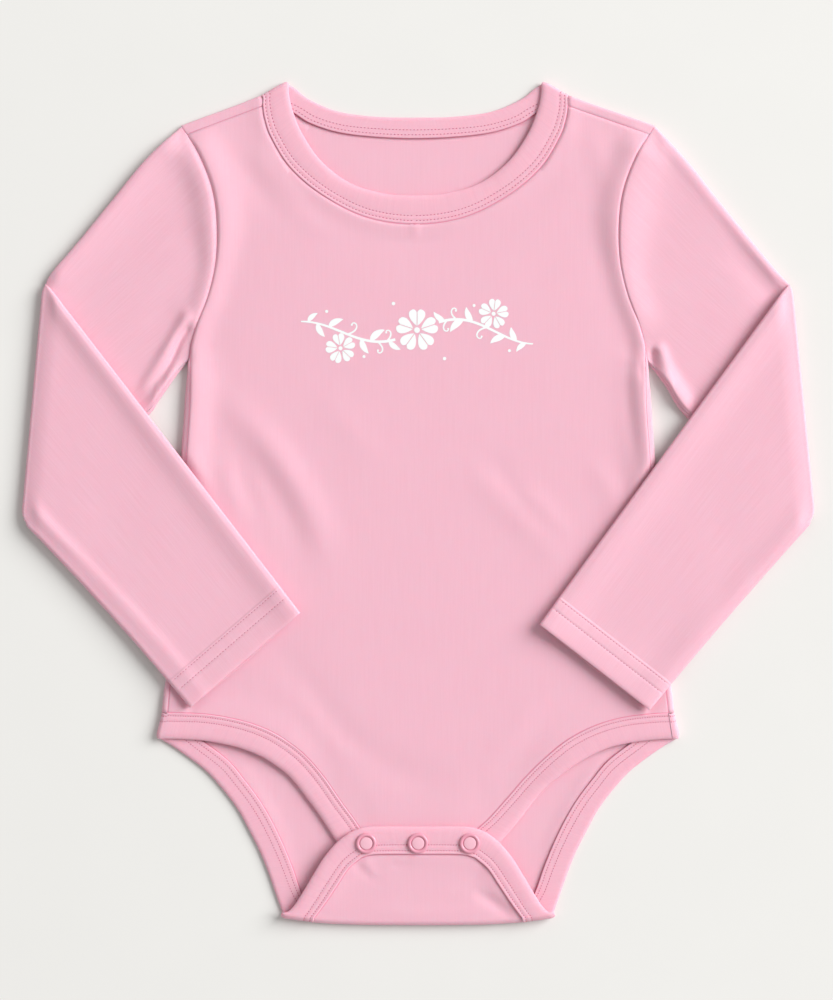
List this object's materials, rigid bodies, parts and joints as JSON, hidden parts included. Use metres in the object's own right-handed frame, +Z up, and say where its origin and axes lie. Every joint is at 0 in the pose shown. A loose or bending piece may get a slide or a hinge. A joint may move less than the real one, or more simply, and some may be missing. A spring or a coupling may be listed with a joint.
{
  "type": "baby onesie",
  "caption": "Long-sleeved baby bodysuit laid flat, front up: crew neck, sleeves folded across the body, bound leg openings, crotch flap folded up and snapped shut.",
  "frame": {"origin": "under the middle of the garment's outline, on the surface that it lies on", "axes": "+Z up from the surface, out of the garment's front; +Y from the crotch to the neck; +X to the viewer's right, which is the wearer's left"},
  "size_m": [0.4019, 0.4287, 0.0088],
  "materials": {
    "jersey": "smooth fine cotton jersey",
    "binding_jersey": "folded cotton jersey binding, twin-needle stitched",
    "snap_plastic": "pink enamelled ring snap"
  },
  "bodies": {
    "root": {"back_panel": "jersey", "front_panel": "jersey", "sleeve_left": "jersey", "sleeve_right": "jersey", "neck_binding": "binding_jersey", "front_leg_binding_left": "binding_jersey", "front_leg_binding_right": "binding_jersey", "back_leg_binding": "binding_jersey", "snap_cap_left": "snap_plastic", "snap_cap_middle": "snap_plastic", "snap_cap_right": "snap_plastic", "snap_socket_left": "snap_plastic", "snap_socket_middle": "snap_plastic", "snap_socket_right": "snap_plastic"}
  },
  "joints": []
}
